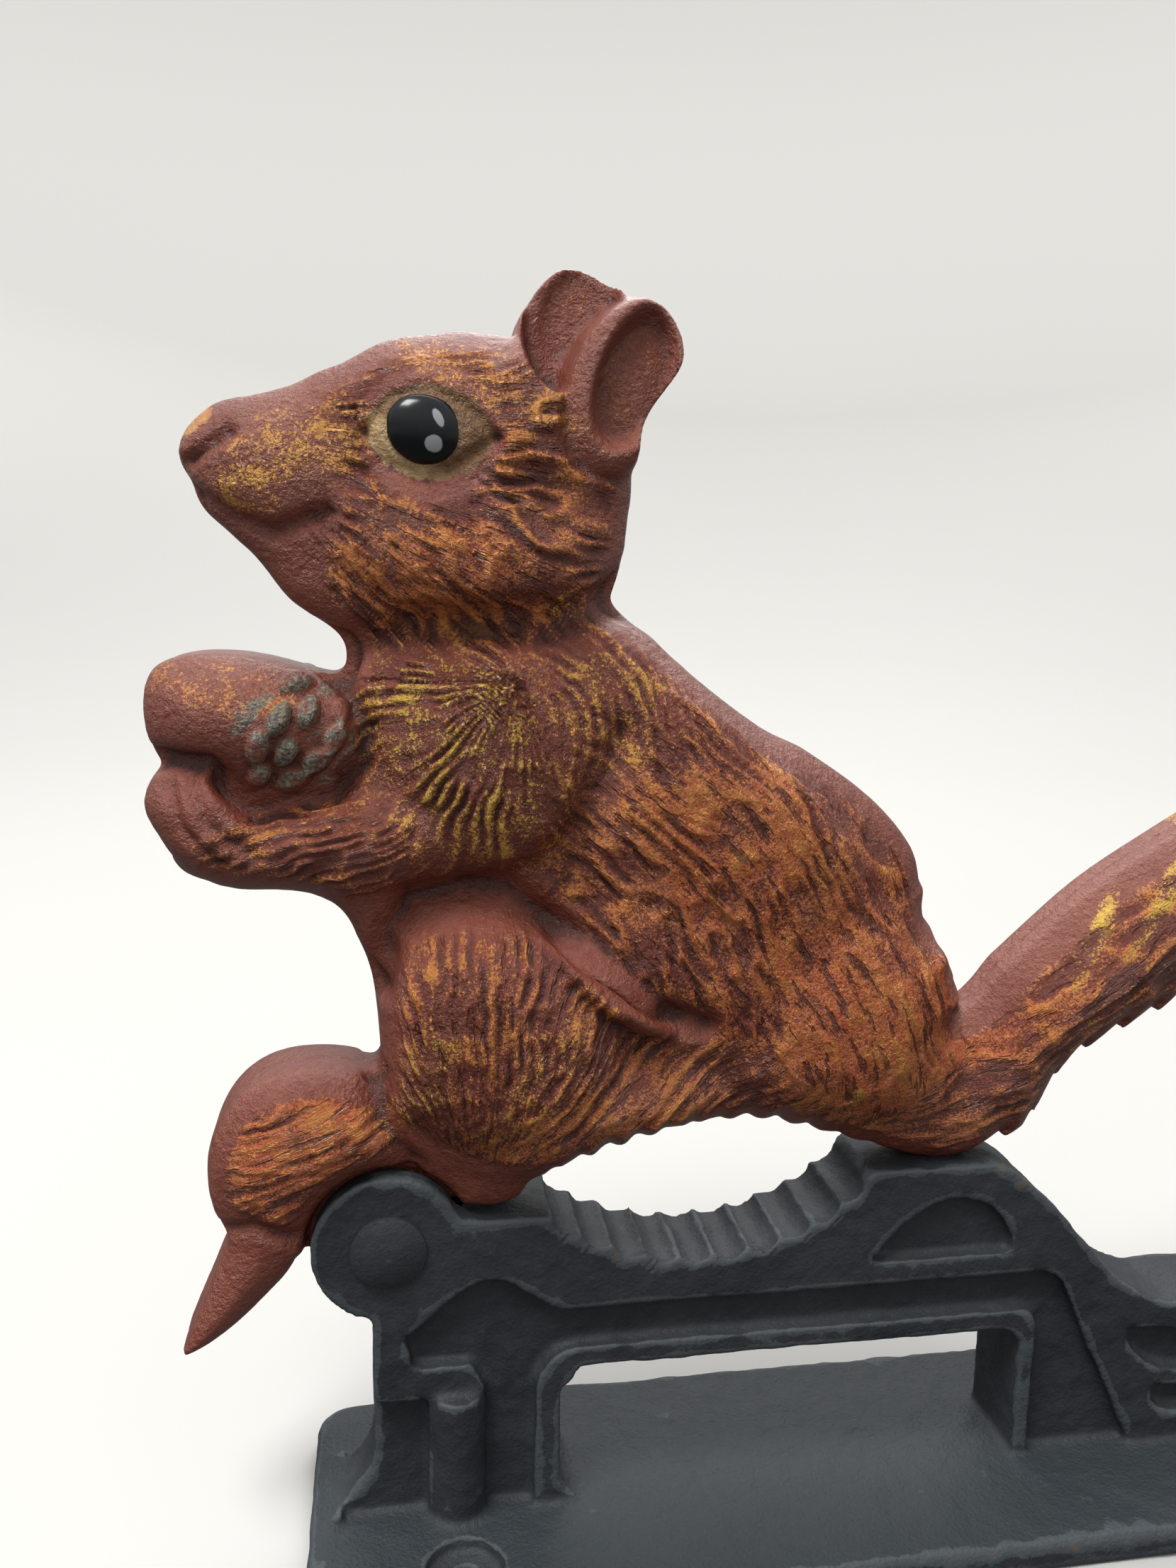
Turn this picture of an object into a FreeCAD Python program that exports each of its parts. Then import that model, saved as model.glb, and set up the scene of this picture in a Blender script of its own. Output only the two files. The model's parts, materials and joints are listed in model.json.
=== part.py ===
import FreeCAD, Part
import math
import os

# Squirrel nutcracker: a cast base with a toothed lower jaw, a cast squirrel whose underside is the
# upper jaw and whose tail is the lever, and the headed pin that hinges the two.
# Every piece is drawn about the hinge axis, x along the jaws, z up, and is then set in the part's
# own frame, which has its origin at the middle of the plate's underside.

doc = FreeCAD.newDocument("squirrel_nutcracker")

driving = [
    ("plate_length", 150, "base plate, along the jaws"),
    ("plate_width", 38, "base plate, across the jaws"),
    ("plate_thickness", 4, "base plate"),
    ("plate_corner", 5, "corner radius of the plate in plan"),
    ("plate_edge", 1, "round along the plate's top edge"),
    ("hole_inset_x", 18.5, "screw hole centre to the plate's end"),
    ("hole_inset_y", 6.2, "screw hole centre to the plate's side"),
    ("hole_diameter", 4.5, "screw shank clearance"),
    ("recess_diameter", 9.2, "screw head recess"),
    ("recess_depth", 1.7, "screw head recess"),
    ("pivot_inset", 10, "hinge axis to the plate's left end"),
    ("pivot_rise", 36, "hinge axis above the plate's top"),
    ("frame_setback", 2, "frame's middle plane behind the plate's middle"),
    ("frame_width", 12, "upright frame and lower jaw, across"),
    ("relief_depth", 1.8, "recessed panels of the frame"),
    ("ear_radius", 9.2, "hinge ears"),
    ("ear_gap", 0.6, "squirrel's hollow clear of the ears"),
    ("tongue_width", 5, "squirrel's tongue between the ears"),
    ("tongue_radius", 8.2, "squirrel's tongue between the ears"),
    ("side_clearance", 0.2, "tongue to ear, each side"),
    ("slot_clearance", 0.3, "slot between the ears, beyond their rim"),
    ("pin_diameter", 5, "hinge pin"),
    ("pin_fit", 0.05, "tongue bore to pin, radial"),
    ("head_diameter", 9, "hinge pin's domed head"),
    ("head_height", 1.6, "hinge pin's domed head"),
    ("tail_diameter", 7.6, "hinge pin's riveted end"),
    ("tail_height", 1.1, "hinge pin's riveted end"),
    ("land_left", 3.6, "left land above the hinge axis"),
    ("land_right", 6, "right land above the hinge axis"),
    ("rest_gap", 0.3, "squirrel's rump above the right land when closed"),
    ("jaw_left", 19.8, "lower jaw's left end from the hinge axis"),
    ("jaw_span", 39.6, "lower jaw, end to end"),
    ("jaw_sag", 8.4, "lower jaw's hollow below its ends"),
    ("tooth_count", 10, "rounded teeth in each jaw"),
    ("tooth_depth", 1.1, "lower jaw's teeth"),
    ("arch_left", 17.8, "upper jaw's left end from the hinge axis"),
    ("arch_span", 43.2, "upper jaw, end to end"),
    ("arch_foot", 6.6, "upper jaw's left end above the hinge axis"),
    ("arch_rise", 5, "upper jaw's arch above its ends"),
    ("arch_tooth", 0.6, "upper jaw's teeth"),
    ("core_width", 9, "squirrel's flat middle slab, across"),
]

sheet = doc.addObject("Spreadsheet::Sheet", "sizes")
for row, (alias, value, meaning) in enumerate(driving, start=1):
    sheet.set(f"A{row}", meaning)
    sheet.set(f"B{row}", str(value))
    sheet.setAlias(f"B{row}", alias)
doc.recompute()


def size(alias):
    return float(sheet.get(alias))


def vec(x, z):
    return FreeCAD.Vector(x, z, 0)


def polar(centre, radius, degrees):
    turn = math.radians(degrees)
    return centre[0] + radius * math.cos(turn), centre[1] + radius * math.sin(turn)


def line(start, end):
    return Part.LineSegment(vec(*start), vec(*end))


def arc(start, middle, end):
    return Part.Arc(vec(*start), vec(*middle), vec(*end))


def curve(points):
    spline = Part.BSplineCurve()
    spline.interpolate([vec(*point) for point in points])
    return spline


def chain(points):
    return [line(a, b) for a, b in zip(points, points[1:])]


def bowed(start, end, sag):
    """Centre and radius of the arc from start to end whose middle is sag below the chord."""
    chord = math.dist(start, end)
    radius = (chord ** 2 / 4 + sag ** 2) / (2 * abs(sag))
    along = ((end[0] - start[0]) / chord, (end[1] - start[1]) / chord)
    reach = math.copysign(radius - abs(sag), sag)
    centre = ((start[0] + end[0]) / 2 - along[1] * reach, (start[1] + end[1]) / 2 + along[0] * reach)
    return centre, radius


def scallops(start, end, sag, count, depth):
    """A toothed arc: count rounded hollows of the given depth, with a crest between each pair."""
    centre, radius = bowed(start, end, sag)
    first = math.degrees(math.atan2(start[1] - centre[1], start[0] - centre[0]))
    last = math.degrees(math.atan2(end[1] - centre[1], end[0] - centre[0]))
    turn = (last - first + 180) % 360 - 180
    outward = math.copysign(depth, sag)
    edges = []
    for tooth in range(count):
        a, b, c = (first + turn * (tooth + part) / count for part in (0, 0.5, 1))
        edges.append(arc(polar(centre, radius, a), polar(centre, radius + outward, b),
                         polar(centre, radius, c)))
    return edges


def plane(body, role):
    return next(item for item in body.Origin.OriginFeatures if item.Role == role)


def new_body(name):
    body = doc.addObject("PartDesign::Body", name)
    body.Label = name
    body.setExpression("Placement.Base.x", "sizes.pivot_inset - sizes.plate_length / 2")
    body.setExpression("Placement.Base.y", "sizes.frame_setback")
    body.setExpression("Placement.Base.z", "sizes.plate_thickness + sizes.pivot_rise")
    return body


def new_sketch(body, name, role, edges, lift=None):
    """A sketch on one of the body's origin planes, lifted along its normal by an expression."""
    sketch = body.newObject("Sketcher::SketchObject", name)
    sketch.AttachmentSupport = [(plane(body, role), "")]
    sketch.MapMode = "FlatFace"
    if lift:
        sketch.setExpression("AttachmentOffset.Base.z", lift)
    sketch.addGeometry(edges, False)
    return sketch


def pad(body, name, sketch, length, midplane=False, reverse=False):
    feature = body.newObject("PartDesign::Pad", name)
    feature.Profile = sketch
    feature.setExpression("Length", length)
    feature.Midplane = midplane
    feature.Reversed = reverse
    doc.recompute()
    return feature


def pocket(body, name, sketch, depth=None, midplane=False, reverse=False):
    """Cuts the sketch into the body and makes sure that something was cut."""
    before = body.Shape.Volume
    feature = body.newObject("PartDesign::Pocket", name)
    feature.Profile = sketch
    if depth:
        feature.setExpression("Length", depth)
    else:
        feature.Type = "ThroughAll"
    feature.Midplane = midplane
    feature.Reversed = reverse
    doc.recompute()
    if not body.Shape.Volume < before - 0.1:
        raise RuntimeError(f"{name} cut nothing")
    return feature


def circle(centre, radius):
    return Part.Circle(vec(*centre), FreeCAD.Vector(0, 0, 1), radius)


plate_top = -size("pivot_rise")
half_frame = "sizes.frame_width / 2"
land_left = size("land_left")
land_right = size("land_right")
jaw_left = size("jaw_left")
jaw_right = jaw_left + size("jaw_span")
plate_left = -size("pivot_inset")
plate_right = plate_left + size("plate_length")
footing = plate_top - size("plate_thickness") / 2      # the frame's web runs down into the plate

# The window under the jaw, and the web that closes it on the left and right.
post_left = -2
post_foot = -8.5
window_left = 21
window_right = 82.3
window_top = -17.5
window_corner = 3
strut_top = 80.5              # where the sloping strut leaves the right land
strut_foot = 104
rail_height = -15.8           # top of the low rail behind the strut
rail_margin = 6               # rail's end to the plate's end
rail_round = 14


def frame_outline():
    """Outline of the upright frame, hinge ear to rail, clockwise from the ear."""
    ear = size("ear_radius")
    land_start = (math.sqrt(ear ** 2 - land_left ** 2), land_left)
    ear_foot = (post_left, -math.sqrt(ear ** 2 - post_left ** 2))
    rail_end = plate_right - rail_margin
    shoulder = (rail_end - rail_round, rail_height)
    edges = [line(land_start, (jaw_left, land_left - 0.3))]
    jaw_start = (jaw_left, land_left - 0.3)
    jaw_end = (jaw_right, land_right - 0.7)
    edges += scallops(jaw_start, jaw_end, size("jaw_sag") - size("tooth_depth"),
                      int(size("tooth_count")), size("tooth_depth"))
    edges += [
        line(jaw_end, (jaw_right + 1.2, land_right)),
        line((jaw_right + 1.2, land_right), (strut_top - 4, land_right)),
        arc((strut_top - 4, land_right), (strut_top - 1.6, land_right - 0.7), (strut_top, land_right - 2)),
        curve([(strut_top, land_right - 2), (88, -3), (94.5, -10.4), (strut_foot, rail_height)]),
        line((strut_foot, rail_height), shoulder),
        arc(shoulder, polar((shoulder[0], rail_height - rail_round), rail_round, 45),
            (rail_end, rail_height - rail_round)),
    ]
    edges += chain([(rail_end, rail_height - rail_round), (rail_end, footing), (post_foot, footing),
                    (post_foot, plate_top + 0.3)])
    edges += [
        arc((post_foot, plate_top + 0.3), (post_left - 2.2, plate_top + 3.2), (post_left, plate_top + 9)),
        line((post_left, plate_top + 9), ear_foot),
        arc(ear_foot, (-ear, 0), polar((0, 0), ear, 110)),
        arc(polar((0, 0), ear, 110), polar((0, 0), ear, 60), land_start),
    ]
    return edges


def window_outline():
    """Opening under the jaw, flared at its feet and notched at its upper left corner."""
    flare = 3.4
    right = window_right - window_corner
    edges = [
        line((window_left + 2.2, window_top), (right, window_top)),
        arc((right, window_top), polar((right, window_top - window_corner), window_corner, 45),
            (window_right, window_top - window_corner)),
        line((window_right, window_top - window_corner), (window_right, plate_top)),
        line((window_right, plate_top), (window_left + flare, plate_top)),
        arc((window_left + flare, plate_top), (window_left + 0.9, plate_top + 1.4),
            (window_left, plate_top + flare)),
    ]
    edges += chain([(window_left, plate_top + flare), (window_left, window_top - 3),
                    (window_left + 1.2, window_top - 2), (window_left + 2.2, window_top)])
    return edges


def channel_outline():
    """Sunk panel that follows the jaw beam, between it and the bead around the window."""
    bead = 2.8
    sill = plate_top
    beam_foot = -9.6
    edges = chain([(2.9, -15.9), (1.8, -11.6)])
    edges += [curve([(1.8, -11.6), (5.5, -8.6), (9, -5.9), (12.7, -4.9), (17, -7), (22.5, beam_foot)])]
    edges += chain([(22.5, beam_foot), (84.6, beam_foot)])
    edges += [arc((84.6, beam_foot), (86.6, -10.3), (87.9, -12.1))]
    edges += chain([(87.9, -12.1), (99.4, sill), (window_right + bead - 0.9, sill),
                    (window_right + bead - 0.9, window_top)])
    edges += [arc((window_right + bead - 0.9, window_top), (window_right + 1, window_top + 2.1),
                  (window_right - 1.4, window_top + bead))]
    edges += chain([(window_right - 1.4, window_top + bead), (window_left + 2.4, window_top + bead)])
    edges += [arc((window_left + 2.4, window_top + bead), (window_left - 1.5, window_top + 1),
                  (window_left - bead - 0.4, window_top - 2.4))]
    edges += chain([(window_left - bead - 0.4, window_top - 2.4), (window_left - bead - 0.4, sill),
                    (11.6, sill), (11.6, -19), (9.9, -15.9), (2.9, -15.9)])
    return edges


def land_recess():
    """D shaped hollow under the right land, highest towards its right end."""
    return [line((60.4, -6.4), (80, -6.4)),
            curve([(80, -6.4), (78.2, -1.4), (73.5, 1.5), (68.5, 0.9), (64, -2.2), (60.4, -6.4)])]


def post_recess():
    """Hollow in the left post, below its block and beside the round column."""
    return chain([(-6, -20), (4.6, -20), (4.6, plate_top), (-6, plate_top), (-6, -20)])


def leaf_recess(tip, height, end):
    """One of the curved hollows of the rail: a blunt tip on the left, tapering to the right."""
    x, z = tip
    return [curve([(x, z), (x + 1.4, z - 3.6), (x + 5, z - height), (x + 12, z - height - 0.6),
                   (end, z - height)]),
            curve([(end, z - height), (x + 12, z - height * 0.2), (x + 4, z - 0.4), (x, z)])]


def plate_outline():
    """Plate in plan with rounded corners, seen from above."""
    middle = -size("frame_setback")
    low, high = middle - size("plate_width") / 2, middle + size("plate_width") / 2
    r = size("plate_corner")
    corners = [(plate_right - r, low + r, 270), (plate_right - r, high - r, 0),
               (plate_left + r, high - r, 90), (plate_left + r, low + r, 180)]
    edges = []
    for (x, y, start), (nx, ny, _) in zip(corners, corners[1:] + corners[:1]):
        stops = [polar((x, y), r, start + turn) for turn in (0, 45, 90)]
        edges.append(arc(*stops))
        edges.append(line(stops[2], polar((nx, ny), r, start + 90)))
    return edges


base = new_body("base_casting")
half_web = size("frame_width") / 2
plate = pad(base, "plate", new_sketch(base, "plate_plan", "XY_Plane", plate_outline(), "-sizes.pivot_rise"),
            "sizes.plate_thickness", reverse=True)
rounded = base.newObject("PartDesign::Fillet", "plate_round")
rim_edges = [f"Edge{number}" for number, edge in enumerate(plate.Shape.Edges, start=1)
             if all(abs(vertex.Point.z - plate_top) < 0.01 for vertex in edge.Vertexes)]
rounded.Base = (plate, rim_edges)
rounded.setExpression("Radius", "sizes.plate_edge")
doc.recompute()
pad(base, "web", new_sketch(base, "web_outline", "XZ_Plane", frame_outline()),
    "sizes.frame_width", midplane=True)
pocket(base, "window", new_sketch(base, "window_edge", "XZ_Plane", window_outline()), midplane=True)

# Sunk panels, cut alike into the front and the rear face of the frame.
panels = {"channel": channel_outline(), "land_hollow": land_recess(), "post_hollow": post_recess(),
          "upper_leaf": leaf_recess((97.4, -18.6), 6.2, 126), "lower_leaf": leaf_recess((102, -27.6), 4.4, 129)}
for name, edges in panels.items():
    for face, side in (("front", 1), ("rear", -1)):
        lift = f"{side} * ({half_frame} - sizes.relief_depth)"
        sketch = new_sketch(base, f"{name}_{face}_edge", "XZ_Plane", edges, lift)
        pocket(base, f"{name}_{face}", sketch, "sizes.relief_depth + 1", reverse=side > 0)

# Half round column on each face of the left post, above the screw hole.
column_x, column_radius, column_top = 8.2, 3.3, -19.6
for face, side in (("front", -1), ("rear", 1)):
    column = base.newObject("PartDesign::AdditiveCylinder", f"column_{face}")
    column.Radius = column_radius
    column.Height = column_top - footing
    column.Placement.Base = FreeCAD.Vector(column_x, side * (half_web - 1), footing)
    doc.recompute()

# Slot between the two ears, for the squirrel's tongue.
slot = base.newObject("PartDesign::SubtractiveCylinder", "tongue_slot")
slot.setExpression("Radius", "sizes.ear_radius + sizes.slot_clearance")
slot.setExpression("Height", "sizes.tongue_width + 2 * sizes.side_clearance")
slot.Placement.Rotation = FreeCAD.Rotation(FreeCAD.Vector(1, 0, 0), 90)
slot.setExpression("Placement.Base.y", "sizes.tongue_width / 2 + sizes.side_clearance")
doc.recompute()

pin_seat = new_sketch(base, "pin_seat_edge", "XZ_Plane", [circle((0, 0), size("pin_diameter") / 2)])
pocket(base, "pin_seat", pin_seat, midplane=True)

middle_y = -size("frame_setback")
reach_y = size("plate_width") / 2 - size("hole_inset_y")
hole_places = [(plate_left + size("hole_inset_x"), middle_y - reach_y),
               (plate_left + size("hole_inset_x"), middle_y + reach_y),
               (plate_right - size("hole_inset_x"), middle_y - reach_y),
               (plate_right - size("hole_inset_x"), middle_y + reach_y)]
holes = new_sketch(base, "screw_holes", "XY_Plane",
                   [circle(place, size("hole_diameter") / 2) for place in hole_places], "-sizes.pivot_rise")
pocket(base, "screw_hole", holes, "sizes.plate_thickness + 1")
recesses = new_sketch(base, "screw_recesses", "XY_Plane",
                      [circle(place, size("recess_diameter") / 2) for place in hole_places],
                      "-sizes.pivot_rise")
pocket(base, "screw_recess", recesses, "sizes.recess_depth")


squirrel = new_body("squirrel_lever")


def squirrel_outline():
    """Side view of the squirrel, counter-clockwise from the upper jaw's left end."""
    arch_start = (size("arch_left"), size("arch_foot"))
    arch_end = (size("arch_left") + size("arch_span"), size("arch_foot") + 2)
    stand = land_right + size("rest_gap")
    lobe = land_left + size("rest_gap") + 0.2
    tongue = size("tongue_radius")
    edges = scallops(arch_start, arch_end, -size("arch_rise"), int(size("tooth_count")), -size("arch_tooth"))
    stretches = [
        [arch_end, (63.6, 7.3), (68, stand), (73, stand + 0.1), (79, 7.4), (84, 8.9)],          # rump
        [(84, 8.9), (86.5, 13), (89.5, 18), (95, 22), (103.5, 26), (113, 33), (126, 39), (142, 42.5),
         (156, 45.5), (165, 50), (168, 55.5), (165.5, 61), (158, 64.5), (146, 65.5), (131, 63.5),
         (115, 58), (101.3, 50.1), (91, 43.5), (81, 34.6), (71.6, 27.2)],                       # tail
        [(71.6, 27.2), (68, 35), (65.5, 42.5), (58.6, 51.7), (48, 59), (38, 65.8), (26.2, 76.8)],  # back
        [(26.2, 76.8), (28.1, 87.9), (28.6, 95), (32.1, 103.5), (30, 108.3), (26.8, 109.6)],    # near ear
        [(26.8, 109.6), (24.6, 113), (20.5, 114.3), (17.6, 111), (16, 104.6)],                  # far ear
        [(16, 104.6), (9, 105.2), (3.3, 104.9), (-3.5, 102), (-11, 98.6), (-18.1, 96.3),
         (-20.8, 92.5), (-19.9, 88.5)],                                                         # face
        [(-19.9, 88.5), (-18.4, 85.2), (-14, 81.8), (-9.1, 75.9), (-4.2, 72), (-4.6, 68.3)],    # chin
        [(-4.6, 68.3), (-11, 70), (-19, 70.9), (-24.6, 69), (-25.8, 64.5), (-23.8, 58.4)],      # nut
        [(-23.8, 58.4), (-26, 53), (-22.9, 46.5), (-16, 43.2), (-8.1, 42.4), (-3.2, 38), (-1, 29),
         (-1.2, 21.9)],                                                                         # paws
        [(-1.2, 21.9), (-8.5, 23.4), (-15.8, 21.6), (-20.7, 15.5), (-21, 5.5), (-19.1, 1.4)],   # knee
        [(-19.1, 1.4), (-20.2, -5), (-23.4, -14.4)],                                            # instep
        [(-23.4, -14.4), (-17, -10.6), (-12.4, -4.9), (-10.4, -0.6)],                           # sole
    ]
    edges += [curve(points) for points in stretches]
    sole_end = stretches[-1][-1]
    tongue_start, tongue_end = polar((0, 0), tongue, 190), polar((0, 0), tongue, 32)
    edges += [
        line(sole_end, tongue_start),
        arc(tongue_start, (0, -tongue), tongue_end),
        curve([tongue_end, (11.5, lobe), (15.4, lobe + 0.1), arch_start]),
    ]
    return edges


slab_edge = new_sketch(squirrel, "side_view", "XZ_Plane", squirrel_outline())
pad(squirrel, "slab", slab_edge, "sizes.core_width", midplane=True)

# Rounded masses on both sides of the slab: middle x and z, half length, half height, half
# thickness, and the turn of the long axis up from x, in degrees.
masses = {
    "skull": (12, 92, 15, 12, 11, 0),
    "muzzle": (-6, 91, 14, 7.5, 7, 8),
    "throat": (11, 79, 14, 10, 9.5, -15),
    "chest": (17, 58, 19, 15, 12, -35),
    "back": (38, 46, 26, 16, 12.5, -45),
    "rump": (55, 27, 18, 15, 12.5, 10),
    "thigh": (16, 28, 17, 12.5, 13.5, -8),
    "forearm": (-8, 51, 17, 7.4, 9.5, 12),
    "nut": (-14.5, 63.5, 11, 6.6, 8, 0),
    "knee": (-12, 13, 8.4, 8.6, 7, 0),
    "tail_root": (88, 29, 19, 8.5, 7.5, 40),
    "tail_brush": (132, 51, 33, 9.5, 8, 18),
}
for name, (x, z, length, height, depth, tilt) in masses.items():
    mass = squirrel.newObject("PartDesign::AdditiveEllipsoid", name)
    mass.Radius2 = length
    mass.Radius3 = depth
    mass.Radius1 = height
    mass.Angle1, mass.Angle2, mass.Angle3 = -90, 90, 360
    mass.Placement = FreeCAD.Placement(
        FreeCAD.Vector(x, 0, z), FreeCAD.Rotation(FreeCAD.Vector(0, 1, 0), -tilt))
    doc.recompute()

# Hollow on each side of the tongue, in which the ears stand, and the bore for the pin.
hollow_reach = 20
for face, side in (("front", -1), ("rear", 1)):
    hollow = squirrel.newObject("PartDesign::SubtractiveCylinder", f"ear_hollow_{face}")
    hollow.setExpression("Radius", "sizes.ear_radius + sizes.ear_gap")
    hollow.Height = hollow_reach
    hollow.Placement.Rotation = FreeCAD.Rotation(FreeCAD.Vector(1, 0, 0), 90)
    start = "sizes.tongue_width / 2" if side > 0 else "-sizes.tongue_width / 2"
    hollow.setExpression("Placement.Base.y", f"{start} + {hollow_reach if side > 0 else 0}")
    doc.recompute()
bore_edge = new_sketch(squirrel, "pin_bore_edge", "XZ_Plane",
                       [circle((0, 0), size("pin_diameter") / 2 + size("pin_fit"))])
pocket(squirrel, "pin_bore", bore_edge, midplane=True)


def cap(rim, height, seat, way):
    """Half of a shallow dome, from its rim to the axis: rim radius, height, where it sits, its side."""
    radius = (rim ** 2 + height ** 2) / (2 * height)
    middle = math.sqrt(radius ** 2 - rim ** 2 / 4) - (radius - height)
    return [(rim, seat), (rim / 2, seat + way * middle), (0, seat + way * height)]


def pin_profile():
    """Half section of the pin: radius along x, distance along the axis along y."""
    shank = size("pin_diameter") / 2
    front, rear = -half_web, half_web
    head, tail = size("head_diameter") / 2, size("tail_diameter") / 2
    rim = 0.5
    head_cap = cap(head, size("head_height") - rim, front - rim, -1)
    tail_cap = cap(tail, size("tail_height") - rim, rear + rim, 1)
    edges = [arc(*head_cap), arc(*tail_cap)]
    edges += chain([head_cap[-1], tail_cap[-1]])
    edges += chain([tail_cap[0], (tail, rear), (shank, rear), (shank, front), (head, front), head_cap[0]])
    return edges


pin = new_body("hinge_pin")
pin_section = new_sketch(pin, "pin_section", "XY_Plane", pin_profile())
turned = pin.newObject("PartDesign::Revolution", "turned_pin")
turned.Profile = pin_section
turned.ReferenceAxis = (pin_section, ["V_Axis"])
turned.Angle = 360
doc.recompute()

doc.recompute()
for item in doc.Objects:
    if "Invalid" in item.State or "Error" in item.State:
        raise RuntimeError(f"{item.Name} failed: {item.State}")

os.makedirs("parts", exist_ok=True)
for body in (base, squirrel, pin):
    shape = body.Shape
    if shape.isNull() or not shape.isValid() or len(shape.Solids) != 1:
        raise RuntimeError(f"{body.Label} is not one sound solid")
    shape.exportStep(f"parts/{body.Label}.step")
    box = shape.BoundBox
    print(body.Label, f"{shape.Volume / 1000:.1f} cm3", f"x {box.XMin:.1f} {box.XMax:.1f}",
          f"y {box.YMin:.1f} {box.YMax:.1f}", f"z {box.ZMin:.1f} {box.ZMax:.1f}")
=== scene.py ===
import itertools
import json
import math

import bpy
import numpy as np
from mathutils import Matrix, Vector
from mathutils.kdtree import KDTree

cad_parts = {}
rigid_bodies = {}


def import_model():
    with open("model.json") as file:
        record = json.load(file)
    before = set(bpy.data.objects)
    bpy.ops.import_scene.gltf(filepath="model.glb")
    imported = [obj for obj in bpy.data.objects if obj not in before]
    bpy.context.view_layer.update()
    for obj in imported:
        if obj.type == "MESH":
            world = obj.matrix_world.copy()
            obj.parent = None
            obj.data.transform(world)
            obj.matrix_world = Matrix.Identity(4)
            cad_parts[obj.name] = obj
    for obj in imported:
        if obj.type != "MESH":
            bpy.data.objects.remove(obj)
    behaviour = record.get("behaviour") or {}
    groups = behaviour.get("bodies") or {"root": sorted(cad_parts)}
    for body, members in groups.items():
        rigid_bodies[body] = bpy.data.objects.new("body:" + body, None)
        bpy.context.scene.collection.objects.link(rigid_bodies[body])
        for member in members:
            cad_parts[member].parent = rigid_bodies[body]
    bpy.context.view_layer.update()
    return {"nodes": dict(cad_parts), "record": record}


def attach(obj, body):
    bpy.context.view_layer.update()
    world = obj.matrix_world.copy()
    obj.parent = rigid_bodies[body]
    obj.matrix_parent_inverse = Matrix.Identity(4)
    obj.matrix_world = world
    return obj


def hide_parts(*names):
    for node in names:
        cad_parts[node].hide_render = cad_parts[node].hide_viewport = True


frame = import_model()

mm = 0.001
hingePlace = np.array(frame["record"]["behaviour"]["joints"][0]["pos_m"])     # in metres
plateThickness = 4.0                                                          # in mm, like the next
plateTop = plateThickness - hingePlace[2] / mm                                # above the hinge line


def deselectAll():
    if bpy.context.object and bpy.context.object.mode != "OBJECT":
        bpy.ops.object.mode_set(mode="OBJECT")
    bpy.ops.object.select_all(action="DESELECT")


def makeActive(piece):
    deselectAll()
    piece.select_set(True)
    bpy.context.view_layer.objects.active = piece


def applyModifier(piece, kind, **settings):
    makeActive(piece)
    modifier = piece.modifiers.new(kind.title(), kind)
    for name, value in settings.items():
        setattr(modifier, name, value)
    bpy.ops.object.modifier_apply(modifier=modifier.name)


def remesh(piece, spacing):
    applyModifier(piece, "REMESH", mode="VOXEL", voxel_size=spacing * mm)


def soften(piece, times):
    applyModifier(piece, "SMOOTH", factor=0.5, iterations=times)


def selectNothing(mesh):
    for part in (mesh.vertices, mesh.edges, mesh.polygons):
        part.foreach_set("select", [False] * len(part))


def copyOfNode(node, name):
    # a merged copy of a CAD node's loose triangles, ready to be worked on
    piece = bpy.data.objects.new(name, frame["nodes"][node].data.copy())
    bpy.context.collection.objects.link(piece)
    piece.data.name = name
    piece.data.materials.clear()
    makeActive(piece)
    bpy.ops.object.mode_set(mode="EDIT")
    bpy.ops.mesh.select_all(action="SELECT")
    bpy.ops.mesh.remove_doubles(threshold=1e-6)
    bpy.ops.mesh.normals_make_consistent(inside=False)
    bpy.ops.object.mode_set(mode="OBJECT")
    return piece


def flattenBeyond(piece, plane, side):
    # presses all that lies beyond a plane across Y back onto it
    makeActive(piece)
    mesh = piece.data
    selectNothing(mesh)
    for vertex in mesh.vertices:
        vertex.select = (vertex.co.y - plane) * side > 0
    bpy.ops.object.mode_set(mode="EDIT")
    bpy.ops.mesh.select_mode(type="VERT")
    bpy.ops.transform.resize(value=(1, 0, 1), center_override=(0, plane, 0))
    bpy.ops.object.mode_set(mode="OBJECT")


def closeFlat(piece, place, normal):
    # swaps the small faces of a flat cut for a plain fill
    makeActive(piece)
    mesh = piece.data
    selectNothing(mesh)
    place, normal = Vector(place), Vector(normal)
    for face in mesh.polygons:
        onCut = abs((face.center - place).dot(normal)) < 0.08 * mm
        face.select = onCut and face.normal.dot(normal) > 0.97
    bpy.ops.object.mode_set(mode="EDIT")
    bpy.ops.mesh.select_mode(type="FACE")
    bpy.ops.mesh.delete(type="FACE")
    bpy.ops.mesh.select_mode(type="EDGE")
    bpy.ops.mesh.select_all(action="DESELECT")
    bpy.ops.mesh.select_non_manifold(use_wire=False, use_multi_face=False,
                                     use_non_contiguous=False, use_verts=False)
    bpy.ops.mesh.fill(use_beauty=False)
    bpy.ops.mesh.select_all(action="SELECT")
    bpy.ops.mesh.normals_make_consistent(inside=False)
    bpy.ops.object.mode_set(mode="OBJECT")


def readPoints(piece):
    flat = np.empty(len(piece.data.vertices) * 3, dtype=np.float32)
    piece.data.vertices.foreach_get("co", flat)
    return flat.reshape(-1, 3).astype(float)


def writePoints(piece, points):
    piece.data.vertices.foreach_set("co", points.astype(np.float32).ravel())
    piece.data.update()


def readLocal(piece):
    # the points in millimetres from the hinge
    return (readPoints(piece) - hingePlace) / mm


def writeLocal(piece, points):
    writePoints(piece, points * mm + hingePlace)


def readNormals(piece):
    flat = np.empty(len(piece.data.vertices) * 3, dtype=np.float32)
    piece.data.vertices.foreach_get("normal", flat)
    return flat.reshape(-1, 3).astype(float)


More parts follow.
